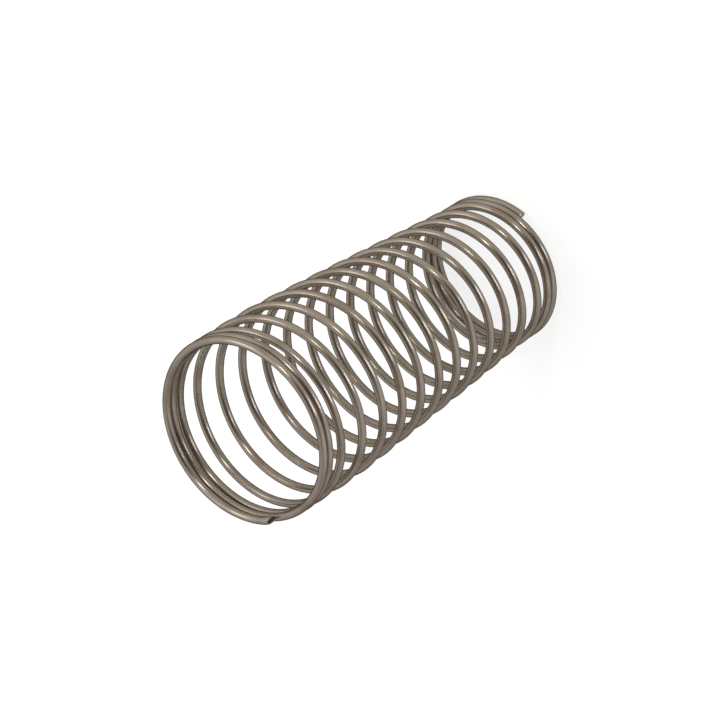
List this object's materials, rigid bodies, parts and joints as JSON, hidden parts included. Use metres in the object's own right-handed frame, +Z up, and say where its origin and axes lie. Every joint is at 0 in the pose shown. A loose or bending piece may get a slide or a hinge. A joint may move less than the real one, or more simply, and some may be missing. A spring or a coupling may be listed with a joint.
{
  "type": "compression spring",
  "caption": "Slightly tapered compression coil spring of round drawn wire, right-handed, with closed, unground ends.",
  "frame": {"origin": "on the coil axis, in the plane that the lower, smaller end stands on", "axes": "+Z up the coil axis from the smaller end to the bigger one; +X through the cut end of the lower end coil"},
  "size_m": [0.0198, 0.0198, 0.0432],
  "materials": {
    "spring_wire": "satin, drawn wire with a warm grey cast"
  },
  "bodies": {
    "root": {"coil_spring": "spring_wire"}
  },
  "joints": []
}
